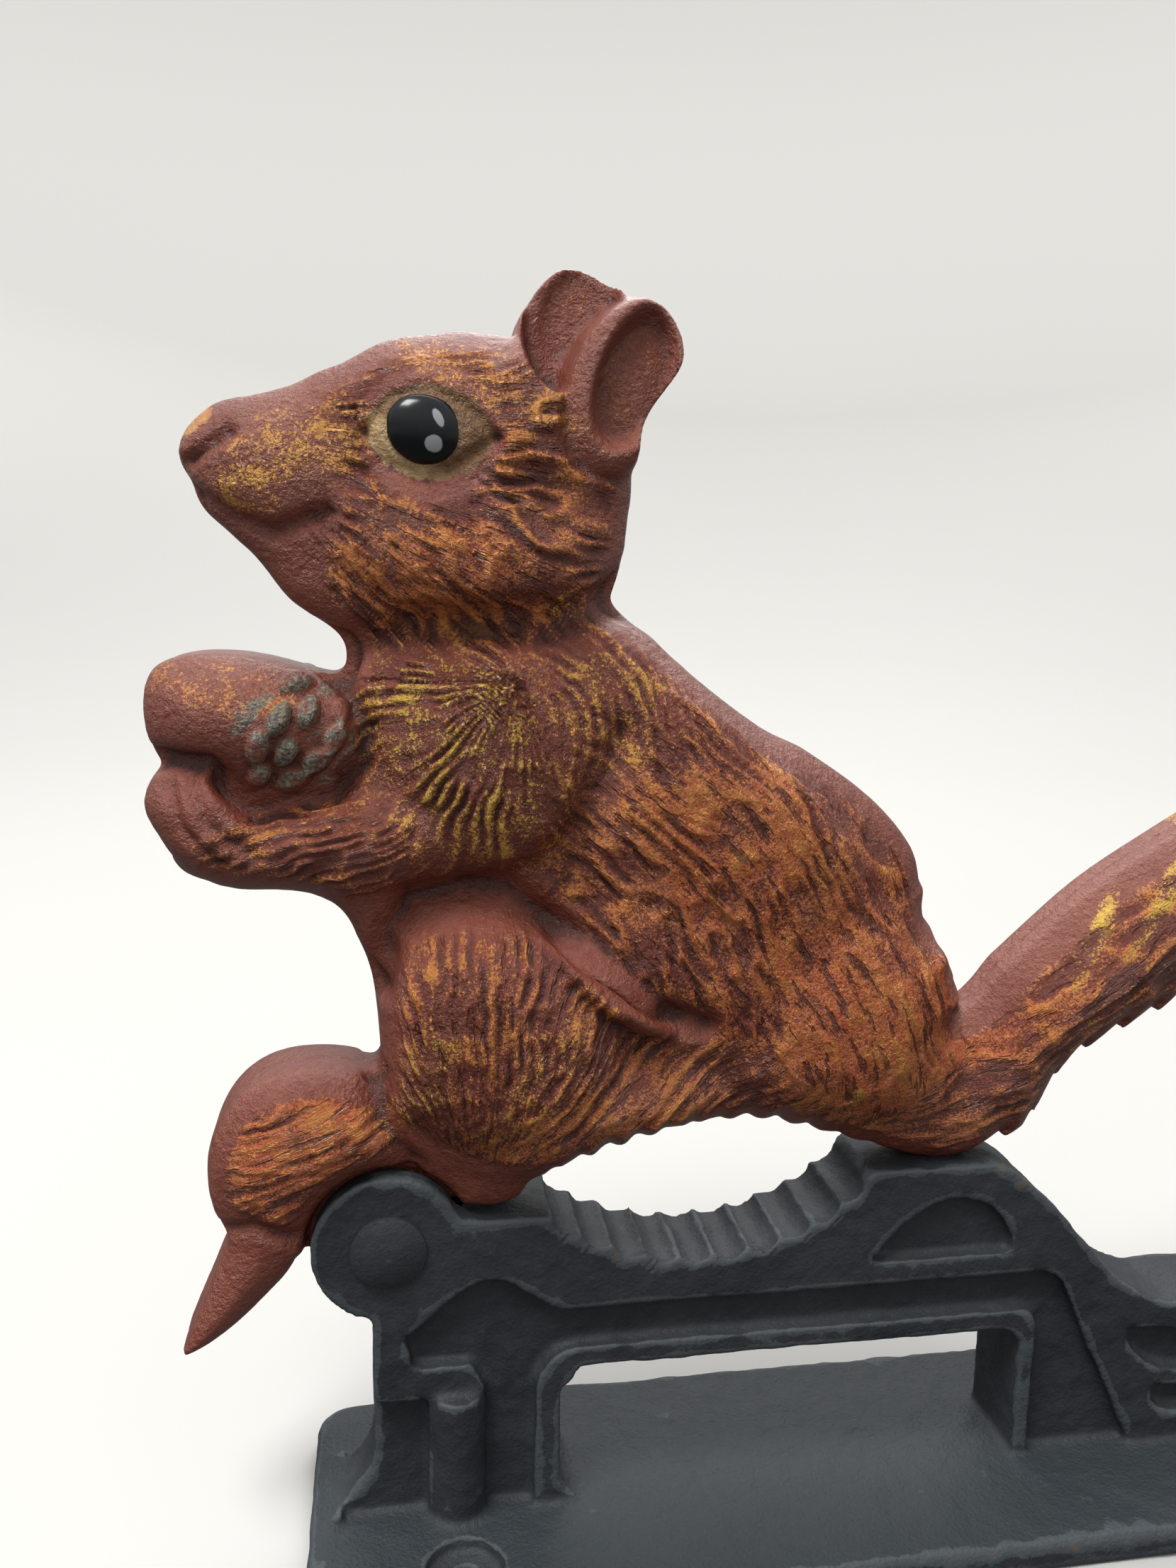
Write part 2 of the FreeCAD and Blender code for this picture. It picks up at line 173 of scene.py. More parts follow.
def writeAttribute(piece, name, values):
    layer = piece.data.attributes.new(name, "FLOAT", "POINT")
    layer.data.foreach_set("value", np.asarray(values, dtype=np.float32))


def neighbourMean(piece, values):
    # mean of each vertex's neighbours
    edges = np.empty(len(piece.data.edges) * 2, dtype=np.int32)
    piece.data.edges.foreach_get("vertices", edges)
    a, b = edges.reshape(-1, 2).T
    total = np.zeros_like(values)
    count = np.zeros(len(values))
    for one, other in ((a, b), (b, a)):
        np.add.at(total, one, values[other])
        np.add.at(count, one, 1)
    count = np.maximum(count, 1)
    return total / (count[:, None] if values.ndim > 1 else count)


def tell(stage, piece):
    print(stage, "vertices", len(piece.data.vertices), "faces", len(piece.data.polygons))


def smooth(low, high, value):
    # 0 at low, 1 at high, eased between; low may be the greater
    step = np.clip((value - low) / (high - low), 0, 1)
    return step * step * (3 - 2 * step)


def lattice(cells, seed):
    # one repeatable number from 0 to 1 for each whole-numbered cell
    mixed = np.full(cells[0].shape, seed * 7919, dtype=np.uint64)
    for axis, prime in zip(cells, (374761393, 668265263, 2246822519)):
        whole = axis.astype(np.int64).astype(np.uint64)
        mixed = (mixed ^ (whole * np.uint64(prime))) & np.uint64(0xffffffff)
        mixed = (mixed * np.uint64(1274126177)) & np.uint64(0xffffffff)
        mixed ^= mixed >> np.uint64(15)
    return (mixed & np.uint64(0xffff)) / 65535


def grain(seed, *axes):
    # smooth noise from 0 to 1 on one to three coordinates
    whole = [np.floor(axis) for axis in axes]
    part = [axis - low for axis, low in zip(axes, whole)]
    part = [p * p * (3 - 2 * p) for p in part]
    total = 0
    for corner in itertools.product((0, 1), repeat=len(axes)):
        weight = 1
        for step, p in zip(corner, part):
            weight = weight * (p if step else 1 - p)
        total = total + weight * lattice([low + step for low, step in zip(whole, corner)], seed)
    return total


def layers(seed, count, *axes):
    # several octaves of grain, still 0 to 1
    total = sum(grain(seed + level, *[axis * 2 ** level for axis in axes]) / 2 ** level
                for level in range(count))
    return total / (2 - 2 ** (1 - count))


def ovalRadius(x, z, oval):
    # distance from an oval's middle in its own radii: 1 on its rim
    cx, cz, long, short, tilt = oval[:5]
    c, s = math.cos(math.radians(tilt)), math.sin(math.radians(tilt))
    along = ((x - cx) * c + (z - cz) * s) / long
    across = (-(x - cx) * s + (z - cz) * c) / short
    return np.hypot(along, across)


def lineDistance(x, z, route):
    # distance to a run of straight stretches
    nearest = np.full(x.shape, 1e9)
    for (ax, az), (bx, bz) in zip(route, route[1:]):
        dx, dz = bx - ax, bz - az
        share = np.clip(((x - ax) * dx + (z - az) * dz) / (dx * dx + dz * dz), 0, 1)
        nearest = np.minimum(nearest, np.hypot(x - ax - share * dx, z - az - share * dz))
    return nearest


class Wire:
    # a socket whose sums make Math nodes
    def __init__(self, paint, socket):
        self.paint, self.socket = paint, socket

    def _math(self, kind, *terms):
        return self.paint.node("ShaderNodeMath", {"operation": kind}, dict(enumerate(terms)))

    def __add__(self, other):
        return self._math("ADD", self, other)

    def __sub__(self, other):
        return self._math("SUBTRACT", self, other)

    def __mul__(self, other):
        return self._math("MULTIPLY", self, other)

    def __truediv__(self, other):
        return self._math("DIVIDE", self, other)

    def __rsub__(self, other):
        return self._math("SUBTRACT", other, self)

    __radd__, __rmul__ = __add__, __mul__

    def most(self, other):
        return self._math("MAXIMUM", self, other)

    def least(self, other):
        return self._math("MINIMUM", self, other)

    def step(self, low, high):
        # 0 at low, 1 at high, eased between
        return self.paint.node("ShaderNodeMapRange", {"interpolation_type": "SMOOTHSTEP"}, {
            "Value": self, "From Min": low, "From Max": high, "To Min": 0.0, "To Max": 1.0})


class Paint:
    # the nodes of one material, or of the world
    def __init__(self, owner, shader, **constants):
        owner.use_nodes = True
        self.tree = owner.node_tree
        self.shader = self.tree.nodes[shader]
        for socket, value in constants.items():
            self.shader.inputs[socket.replace("_", " ")].default_value = value

    def node(self, kind, settings=None, values=None, out=0):
        made = self.tree.nodes.new(kind)
        for name, value in (settings or {}).items():
            setattr(made, name, value)
        for socket, value in (values or {}).items():
            if isinstance(value, Wire):
                self.tree.links.new(value.socket, made.inputs[socket])
            else:
                made.inputs[socket].default_value = value
        return Wire(self, made.outputs[out])

    def send(self, socket, wire):
        self.tree.links.new(wire.socket, self.shader.inputs[socket])

    def place(self):
        return self.node("ShaderNodeTexCoord", out="Object")

    def attribute(self, name):
        return self.node("ShaderNodeAttribute", {"attribute_name": name}, out="Fac")

    def noise(self, vector, scale, detail=3.0, roughness=0.55):
        return self.node("ShaderNodeTexNoise", {"noise_dimensions": "3D"}, {
            "Vector": vector, "Scale": scale, "Detail": detail, "Roughness": roughness}, out="Fac")

    def stretch(self, vector, scale):
        return self.node("ShaderNodeMapping", {}, {"Vector": vector, "Scale": scale})

    def mix(self, share, first, second):
        # sockets 6, 7 and 2 are the colour ones
        return self.node("ShaderNodeMix", {"data_type": "RGBA"}, {0: share, 6: first, 7: second}, out=2)

    def bump(self, height, strength, distance):
        return self.node("ShaderNodeBump", {}, {
            "Height": height, "Strength": strength, "Distance": distance})

    def ovalMask(self, oval, edge, wobble=0.0, wobbleScale=900.0):
        # 1 inside an oval seen from the side, 0 outside, with an uneven brushed edge
        x, z, long, short, tilt = oval
        place = self.node("ShaderNodeMapping", {"vector_type": "TEXTURE"}, {
            "Vector": self.place(), "Location": (hingePlace[0] + x * mm, 0, hingePlace[2] + z * mm),
            "Rotation": (0, -math.radians(tilt), 0), "Scale": (long * mm, 1.0, short * mm)})
        flat = self.node("ShaderNodeVectorMath", {"operation": "MULTIPLY"}, {0: place, 1: (1, 0, 1)})
        radius = self.node("ShaderNodeVectorMath", {"operation": "LENGTH"}, {0: flat}, out="Value")
        if wobble:
            radius = radius + (self.noise(self.place(), wobbleScale, 2.0) - 0.5) * wobble
        return (radius - (1 + edge)) / (-2 * edge)


def rgb(red, green, blue):
    # a colour as it looks on a screen, 0 to 255, as linear light
    return tuple(v / 12.92 if v <= 0.04045 else ((v + 0.055) / 1.055) ** 2.4
                 for v in (red / 255, green / 255, blue / 255)) + (1.0,)


# Places below are millimetres from the hinge: x towards the tail, z up. Heights are half the
# thickness of the casting at that place. An oval is its middle x and z, its two radii and its tilt.

squirrelShape = {
    "slab": 4.4,                     # half thickness of the flat slab it starts from
    "overlap": 0.25,                 # how far each half reaches past the parting plane
    "rim": 3.6,                      # half thickness at the outline
    "shoulderWidth": 6.5,            # how far in from the outline the surface still rises
    "plain": 6.6,                    # height between the rounded masses
    "blend": 0.55,                   # softness of the creases between masses
    "coarse": 0.45, "fine": 0.31,     # mesh spacing before and after the masses are raised
    "kept": 0.51,                     # share of the triangles kept once the fur is carved
    "furDepth": 0.8, "pitDepth": 0.3, "clawHeight": 0.9,
    "tongueRadius": 13, "tongue": 2.6,   # round the hinge, this half thickness is left as it is
    "seam": 0.6,                         # and everywhere else, this much of it
}

# an oval, its rise above the plain, and how square its flank is
masses = {
    "skull": (10, 94, 17, 11.5, 4, 3.4, 2),
    "cheek": (10, 83, 16, 9.5, -12, 4.2, 2.4),
    "muzzle": (-9, 90.5, 12, 7, 10, 1.6, 2),
    "shoulder": (13, 59, 15, 13, -70, 4.6, 2.4),
    "foreArm": (-5, 49.5, 20, 6.2, 8, 3.2, 2.4),
    "paw": (-19, 51.5, 6.5, 7, 30, 2.6, 2.4),
    "nut": (-14, 64, 11.6, 6.6, -4, 3.0, 2.2),
    "back": (38, 52, 28, 15, -48, 4.6, 2.4),
    "flank": (40, 36, 18, 14, -30, 3.4, 2.4),
    "rump": (56, 26, 17, 16, 20, 4.6, 2.4),
    "thigh": (12.5, 26.5, 16.5, 14, -28, 5.8, 4),
    "thighTip": (25.5, 32.6, 11.5, 3.4, -37, 5.4, 3),
    "haunch": (22, 16, 18, 9, 0, 3.6, 2.4),
    "knee": (-11, 14, 10, 9, 0, 1.6, 2.4),
    "tailRoot": (88, 28, 18, 9.5, 44, 2.4, 2.4),
    "tailMiddle": (108, 44, 20, 10, 30, 2.2, 2.4),
    "tailBrush": (138, 54, 33, 11, 8, 2.6, 2.4),
}

# route, half width, depth
grooves = {
    "neck": ([(-4.5, 70.5), (3, 73.6), (13, 74.2), (20.4, 75), (27, 77.6)], 2.4, 1.7),
    "thighTop": ([(-1, 33), (0.4, 39.5), (3.2, 43), (8.5, 44), (14, 43.3), (18.4, 40.8), (22.2, 36.8),
                  (26.3, 33.2), (31, 29.8), (37, 27.2)], 1.5, 1.9),
    "armBack": ([(26, 62), (24, 56), (21.6, 50.5), (17.6, 46.6), (11, 44.4), (3, 42.2)], 2.2, 1.3),
    "nutPaw": ([(-24, 59.2), (-18.5, 58.8), (-16.4, 56.4), (-13.6, 54), (-9.7, 54.2), (-5.3, 55.6),
                (-2, 58.6), (-1.6, 63), (-4.5, 68.4)], 1.1, 1.7),
    "mouth": ([(-19.8, 87.6), (-14.5, 84.6), (-11, 83.4), (-5.5, 85.6)], 1.0, 0.8),
    "nostril": ([(-19.6, 90.6), (-17.4, 92.2), (-15.2, 93.8)], 0.8, 1.0),
    "finger1": ([(-22.6, 56.6), (-21.6, 52), (-17.5, 47.8)], 0.9, 0.7),
    "finger2": ([(-20.2, 57.2), (-18.6, 52.6), (-14, 49.2)], 0.9, 0.7),
    "finger3": ([(-17.6, 57.4), (-14.7, 53.4), (-8.5, 51.4)], 0.8, 0.6),
    "ankle": ([(-1.4, 22.4), (-0.6, 17), (1.5, 13), (3, 10.5)], 1.4, 1.3),
    "toe": ([(-20.2, 3.2), (-15.5, 4.6), (-11, 2.4)], 1.0, 0.8),
    "eyeLid": ([(-1.4, 94), (1.2, 97.4), (5.4, 98.6), (9.2, 96.6), (12.4, 93.6)], 0.7, 0.5),
    "eyeBag": ([(-1.4, 94), (0.6, 90.6), (5, 89.2), (9, 91.2), (12.4, 93.6)], 0.7, 0.5),
}

ears = {
    "near": {"leaf": (26.3, 99.6, 10.0, 6.4, 70), "cup": (27.4, 100.6, 7.8, 4.0, 68), "side": -1},
    "far": {"leaf": (20.9, 107, 8.2, 5.2, 80), "cup": (20.9, 107.6, 5.4, 3.1, 76), "side": 1},
}

# half thickness at an ear's rim, how far its middle rises and its cup sinks, and the same behind
earShape = {"rim": 6.6, "dome": 2.8, "cup": 3.2, "back": 1.7, "backCup": 0.8}

# the far paw's claws where they come over the nut: ovals
claws = ((-10.8, 63.9, 1.9, 1.1, 60), (-13.0, 61.0, 2.0, 1.2, 75), (-13.2, 57.6, 1.7, 1.1, 50),
         (-9.6, 57.2, 2.0, 1.2, 25), (-7.0, 59.4, 2.1, 1.2, 40), (-5.0, 61.8, 1.9, 1.1, 60),
         (-4.2, 64.8, 1.7, 1.0, 80), (-9.2, 67.6, 2.0, 1.0, 10), (-7.8, 64.6, 1.7, 1.1, 70),
         (-10.2, 60.4, 1.7, 1.1, 55))

# Fur: where it lies (an oval), how its strands run, their spacing, and how much gold and orange is
# brushed over it. A fan spreads from a point; a ring circles one; straight has a direction.
coats = {
    "head": {"oval": (11, 88, 20, 15, -8), "fan": (-17, 95), "pitch": 1.3, "even": 0.2,
             "gold": 0.4, "orange": 0.5},
    "throat": {"oval": (8, 76, 14, 7, -10), "fan": (-20, 98), "pitch": 1.4, "even": 0.2,
               "gold": 0.4, "orange": 0.5},
    "shoulder": {"oval": (9, 57, 17, 13, -50), "fan": (14.6, 68), "pitch": 1.2, "even": 0.7,
                 "gold": 0.6, "orange": 0},
    "foreArm": {"oval": (-8, 49, 14, 6, 8), "fan": (30, 62), "pitch": 1.3, "even": 0.5,
                "gold": 0.25, "orange": 0.15},
    "nape": {"oval": (25, 66, 10, 10, -50), "ring": (12, 60), "pitch": 1.5, "even": 0.7,
             "gold": 0.4, "orange": 0},
    "back": {"oval": (40, 48, 30, 19, -48), "ring": (-10, 8), "pitch": 1.9, "even": 0.3,
             "gold": 0.35, "orange": 0.6},
    "rump": {"oval": (58, 27, 17, 17, 20), "ring": (18, 10), "pitch": 2.0, "even": 0.35,
             "gold": 0.4, "orange": 0.75},
    "seat": {"oval": (72, 13, 16, 10, 18), "straight": 14, "pitch": 2.2, "even": 0.4,
             "gold": 0.35, "orange": 0.8},
    "haunch": {"oval": (34, 18, 28, 8.5, 0), "straight": 44, "pitch": 2.2, "even": 0.6,
               "gold": 0.3, "orange": 0.6},
    "thigh": {"oval": (13, 26, 17, 13.5, -25), "fan": (11, 2), "pitch": 1.2, "even": 0.5,
              "gold": 0.45, "orange": 0.5},
    "knee": {"oval": (-10, 13, 12, 9, -20), "straight": 20, "pitch": 1.5, "even": 0.4,
             "gold": 0.4, "orange": 0.8},
    "tailRoot": {"oval": (90, 30, 20, 13, 42), "straight": 38, "pitch": 2.3, "even": 0.4,
                 "gold": 0.45, "orange": 0.6},
    "tailBrush": {"oval": (132, 53, 40, 14, 12), "straight": 14, "pitch": 2.4, "even": 0.4,
                  "gold": 0.5, "orange": 0.5},
}

# extra daubs of dry paint: oval, then gold, orange and yellow
daubs = (
    ((11, 99.5, 11, 3.4, -22), 0.5, 0.0, 0.1), ((20, 93, 6, 5, -50), 0.2, 0.1, 0.1),
    ((-7, 93, 9, 4.2, 12), 0.6, 0.15, 0.3), ((-13.5, 87.5, 4.5, 2.4, -20), 0.6, 0.15, 0.3),
    ((7, 79, 12, 5.5, -16), 0.3, 0.4, 0.0), ((27.4, 100.6, 6, 3.5, 68), 0.3, 0.5, 0.0),
    ((20.9, 107.6, 4.4, 2.6, 76), 0.3, 0.6, 0.0), ((20, 76.6, 1.8, 1.0, 30), 0.9, 0.0, 1.0),
    ((8, 60, 13, 10, -50), 0.1, -0.2, 1.0), ((25, 65, 7, 6, -45), 0.25, 0.0, 0.6),
    ((42, 44, 17, 10, -46), 0.2, 0.35, 0.0), ((60, 24, 15, 10, 15), 0.2, 0.4, 0.0),
    ((3.5, 22, 3.2, 9, -20), 0.2, 0.0, 0.7), ((17, 22, 3, 8, -35), 0.15, 0.0, 0.5),
    ((25, 15, 16, 5, 8), 0.2, 0.4, 0.2), ((-9, 15, 9, 5, 10), 0.2, 0.4, 0.0),
    ((56, 18, 0.8, 1.4, 0), 1.0, 0.0, 1.0), ((50, 45, 0.9, 0.7, -45), 0.6, 0.0, 1.0),
    ((88, 36, 6.5, 1.0, 58), 0.8, 0.0, 1.0), ((98.5, 44, 8.5, 0.9, 54), 0.8, 0.0, 1.0),
    ((94.5, 38, 6, 0.7, 50), 0.6, 0.0, 0.9), ((104, 43, 8, 0.8, 40), 0.6, 0.0, 0.9),
    ((98, 33, 8, 1.4, 18), 0.5, 0.0, 0.6), ((115, 52, 12, 2, 30), 0.6, 0.0, 0.8),
    ((135, 58, 14, 2, 8), 0.6, 0.0, 0.8), ((-16, 67, 9, 3.2, -8), 0.5, 0.1, 0.0),
)


def strandPlace(coat, x, z):
    # across and along its strands, in mm
    if "straight" in coat:
        c, s = math.cos(math.radians(coat["straight"])), math.sin(math.radians(coat["straight"]))
        return -x * s + z * c, x * c + z * s
    cx, cz = coat.get("fan") or coat.get("ring")
    radius, turn = np.hypot(x - cx, z - cz), np.arctan2(z - cz, x - cx)
    middle = math.hypot(coat["oval"][0] - cx, coat["oval"][1] - cz)
    if "fan" in coat:
        return turn * middle, radius
    return radius, turn * middle


def coatShares(x, z):
    # each coat's share at each place, and how much fur there is in all
    weights = {name: np.clip(1.15 - ovalRadius(x, z, coat["oval"]), 0, None) ** 1.5
               for name, coat in coats.items()}
    total = sum(weights.values())
    shares = {name: weight / np.maximum(total, 1e-6) for name, weight in weights.items()}
    return shares, smooth(0, 0.12, total)


def reliefHeight(x, z, side, edge):
    # half thickness of the finished relief; edge is the distance in from the outline
    blend = squirrelShape["blend"]
    total = np.ones(x.shape)
    for mass in masses.values():
        rise, square = mass[5], mass[6]
        lift = rise * (1 - np.clip(ovalRadius(x, z, mass), 0, 2) ** square)
        total = total + np.exp(np.clip(lift, -8, 20) / blend)
    top = squirrelShape["plain"] + blend * np.log(total)
    rear = smooth(26, 58, x)                                     # the back and the tail are rounder
    rim = squirrelShape["rim"] - 1.4 * rear
    inward = 1 - np.clip(edge / (squirrelShape["shoulderWidth"] + 3.5 * rear), 0, 1)
    height = np.minimum(top, rim) + np.maximum(top - rim, 0) * (1 - inward ** 2) ** (0.5 + 0.25 * rear)
    for own in (False, True):                                    # the ear of this side lies over the other
        for ear in ears.values():
            radius = ovalRadius(x, z, ear["leaf"])
            cup = smooth(1.15, 0.75, ovalRadius(x, z, ear["cup"]))
            if own:
                dome = np.sqrt(np.clip(1 - radius ** 2, 0, 1))
                proud = earShape["rim"] + earShape["dome"] * dome - earShape["cup"] * cup
            else:
                proud = earShape["back"] - earShape["backCup"] * cup
            leaf = smooth(1.08, 0.92, radius) * ((side == ear["side"]) == own)
            height = height * (1 - leaf) + proud * leaf
    return height


def nearestWall(piece):
    # a function that gives each place's distance from the outline and which way the outline faces there
    points = readLocal(piece)
    normals = readNormals(piece)
    wall = (np.abs(points[:, 1]) > 2.9) & (np.abs(points[:, 1]) < 4.0) & (np.abs(normals[:, 1]) < 0.3)
    facing = normals[wall][:, (0, 2)]
    tree = KDTree(len(facing))
    for index, (px, _, pz) in enumerate(points[wall]):
        tree.insert((px, pz, 0), index)
    tree.balance()

    def look(x, z):
        found = [tree.find((px, pz, 0)) for px, pz in zip(x, z)]
        return np.array([hit[2] for hit in found]), facing[[hit[1] for hit in found]]
    return look


outlineShape = {
    "scallop": 3.8, "scallopDepth": 0.9,      # the teeth along the belly
    "bellyLift": 1.3,
    "tailShrink": 0.02, "tailDrop": 2.6,      # the tail lies a little lower and nearer than the slab's
    "tuft": 5.2, "tuftDepth": 1.6,            # the steps under the tail
    "farEarDrop": 1.6,
    "toe": 1.3,                               # how far the foot's tip goes forwards and up
}

# where the outline is taken in, or let out: oval and mm
trims = (
    ((-14, 46, 20, 9, 5), 1.0), ((-14, 16, 15, 17, 0), 0.9), ((0, 98, 20, 6, 8), 0.3),
    ((-19, 90, 6, 8, 0), 0.4), ((-22, 96, 7, 6, 0), -0.35), ((2, 103, 7, 6, 0), 0.4),
    ((14, 104, 7, 6, 0), -0.4), ((-14, 66, 14, 9, 0), 0.3), ((36, 67, 12, 7, -40), -0.6),
    ((57, 54, 14, 8, -48), -1.4), ((66.8, 39.2, 4, 3.2, 0), -0.9), ((70, 33, 8, 9, 0), 1.1),
    ((67.2, 31.8, 3.4, 4, 0), 1.3), ((27, 80, 5, 8, 0), 0.5), ((30, 98, 5, 10, 0), 0.2),
    ((92, 42, 26, 5, 40), 0.3), ((80, 14, 14, 9, 40), 0.5),
)

# the middle of the tail: x, then z
tailLine = ([60, 80, 95, 110, 130, 170], [14, 24, 36, 46, 52, 56])


def trueOutline(piece):
    # takes the facets off the back and the chin, keeps the main shell, and trims the outline
    points = readLocal(piece)
    x, _, z = points.T
    rough = smooth(14, 20, x) * smooth(74, 68, x) * smooth(26, 32, z) * smooth(84, 78, z)
    rough = np.maximum(rough, smooth(7, 4.5, np.hypot(x + 2.5, z - 69.5)))
    group = piece.vertex_groups.new(name="rough")
    for index in np.nonzero(rough > 0.01)[0]:
        group.add([int(index)], float(rough[index]), "REPLACE")
    applyModifier(piece, "SMOOTH", factor=0.6, iterations=14, vertex_group="rough")
    makeActive(piece)
    mesh = piece.data
    selectNothing(mesh)
    mesh.vertices[int(np.argmin(np.hypot(x - 40, z - 45)))].select = True
    bpy.ops.object.mode_set(mode="EDIT")
    bpy.ops.mesh.select_mode(type="VERT")
    bpy.ops.mesh.select_linked()
    bpy.ops.mesh.select_all(action="INVERT")
    bpy.ops.mesh.delete(type="VERT")
    bpy.ops.object.mode_set(mode="OBJECT")
    points = readLocal(piece)
    x, _, z = points.T
    reach, toEdge = nearestWall(piece)(x, z)
    inset = sum(amount * smooth(1.25, 0.7, ovalRadius(x, z, oval)) for oval, amount in trims)
    inset = inset * smooth(12.5, 15, np.hypot(x, z)) * smooth(7, 1, reach)
    points[:, 0] -= toEdge[:, 0] * inset
    points[:, 2] -= toEdge[:, 1] * inset
    belly = smooth(20, 9, z) * smooth(12, 18, x) * smooth(56, 44, x)
    notch = 1 - np.abs(np.sin(math.pi * (x + 0.4 * z) / outlineShape["scallop"])) ** 0.8
    scallops = outlineShape["scallopDepth"] * (notch - 0.4) * smooth(4, 1, reach)
    points[:, 2] += belly * (outlineShape["bellyLift"] + scallops)
    shrink = outlineShape["tailShrink"] * smooth(62, 78, x)
    points[:, 0] -= shrink * x
    points[:, 2] += shrink * (79 - z) - outlineShape["tailDrop"] * smooth(64, 74, x)
    x, _, z = points.T
    under = smooth(72, 80, x) * smooth(0, -7, z - np.interp(x, *tailLine))
    step = (x * 0.72 + z * 0.7) / outlineShape["tuft"]
    points[:, 2] += under * (outlineShape["tuftDepth"] * (step - np.floor(step)) + 0.5)
    points[:, 2] -= outlineShape["farEarDrop"] * smooth(103, 113, z) * smooth(28, 24, x)
    points[:, 0] += smooth(97, 104, z) * (smooth(26, 30, x) - 0.8 * smooth(21, 17, x))
    toe = smooth(4, -12, z) * smooth(-8, -14, x)
    points[:, 0] -= outlineShape["toe"] * toe
    points[:, 2] += outlineShape["toe"] * toe
    writeLocal(piece, points)


def raiseRelief(piece, edgeOf):
    points = readLocal(piece)
    x, y, z = points.T
    side = np.where(y < 0, -1, 1)
    height = reliefHeight(x, z, side, edgeOf(x, z)[0])
    nearHinge = np.hypot(x, z) < squirrelShape["tongueRadius"]
    still = np.where(nearHinge, squirrelShape["tongue"], squirrelShape["seam"])
    share = np.clip((np.abs(y) - still) / (squirrelShape["slab"] - 0.2 - still), 0, None)
    moved = still + np.minimum(share, 1) * (height - still)
    points[:, 1] = np.where(np.abs(y) > still, side * moved, y)
    writeLocal(piece, points)


def carveFur(piece, edgeOf):
    points = readLocal(piece)
    normals = readNormals(piece)
    x, y, z = points.T
    edge = edgeOf(x, z)[0]
    facing = smooth(0.25, 0.6, np.abs(normals[:, 1]))
    outside = smooth(2.9, 3.4, np.abs(y))
    push = np.zeros(len(x))
    for route, width, depth in grooves.values():
        push -= depth * np.exp(-(lineDistance(x, z, route) / width) ** 2)
    shares, amount = coatShares(x, z)
    # no fur round the eye, or on the muzzle, nut, nose, near ear and the thigh's edge
    furred = smooth(6.4, 8.0, np.hypot(x - 5.4, z - 94))
    furred = furred * smooth(9, 19, np.hypot(x + 18, z - 90))
    furred = furred * smooth(0.95, 1.1, ovalRadius(x, z, masses["nut"]))
    furred = furred * smooth(-17, -12, x + (z < 80) * 60)
    furred = furred * smooth(0.9, 1.1, ovalRadius(x, z, ears["near"]["leaf"]))
    furred = furred * smooth(1.2, 2.4, lineDistance(x, z, grooves["thighTop"][0]))
    amount = amount * furred * smooth(1.4, 3.2, edge) * facing * outside
    ridge = np.zeros(len(x))
    for seed, (name, coat) in enumerate(coats.items()):
        across, along = strandPlace(coat, x, z)
        pitch = coat["pitch"]
        sway = (grain(40 + seed, x / 6, z / 6) - 0.5) * 2.4
        sway = sway + (grain(60 + seed, x / 2.2, z / 2.2) - 0.5) * 0.7
        even = 0.5 + 0.5 * np.cos((across + sway) / pitch * 2 * math.pi)
        broken = smooth(0.25, 0.6, grain(seed, across / pitch / 1.3, along / (pitch * 3)))
        loose = 1 - np.abs(2 * grain(seed + 20, (across + sway) / pitch * 1.3, along / (pitch * 3)) - 1)
        strand = coat["even"] * even ** 1.4 * (0.15 + 0.85 * broken) + (1 - coat["even"]) * loose ** 2.2
        ridge += shares[name] * strand
    ridge = np.clip(ridge * 1.1, 0, 1)
    worn = 0.6 + 0.4 * smooth(0.3, 0.7, grain(95, x / 7, z / 7))       # some places are worn flatter
    push += squirrelShape["furDepth"] * (ridge - 0.4) * amount * worn
    pits = layers(90, 3, x / 1.5, y / 1.5, z / 1.5) - 0.5
    push += pits * squirrelShape["pitDepth"] * outside * smooth(0.1, 0.5, amount + 0.2)
    for claw in claws:
        raised = smooth(1.25, 0.55, ovalRadius(x, z, claw))
        push += squirrelShape["clawHeight"] * raised * facing * outside
    points = points + normals * (push * outside)[:, None]
    writeLocal(piece, points)
    return ridge, amount, shares


def markPaint(piece, ridge, amount, shares):
    # what the paint needs to know at each vertex
    gold = amount * sum(shares[name] * coat["gold"] for name, coat in coats.items())
    orange = amount * sum(shares[name] * coat["orange"] for name, coat in coats.items())
    writeAttribute(piece, "ridge", ridge)
    writeAttribute(piece, "fur", amount)
    points = readPoints(piece)
    x, _, z = readLocal(piece).T
    yellow = np.zeros(len(x))
    for oval, moreGold, moreOrange, moreYellow in daubs:
        share = smooth(1.35, 0.6, ovalRadius(x, z, oval))
        gold = gold + share * moreGold
        orange = orange + share * moreOrange
        yellow = yellow + share * moreYellow
    writeAttribute(piece, "gold", gold)
    writeAttribute(piece, "orange", orange)
    writeAttribute(piece, "yellow", np.clip(yellow, 0, 1))
    hollow = np.einsum("ij,ij->i", neighbourMean(piece, points) - points, readNormals(piece)) / mm
    for _ in range(2):
        hollow = neighbourMean(piece, hollow)
    writeAttribute(piece, "hollow", np.clip(hollow * 12 + 0.5, 0, 1))


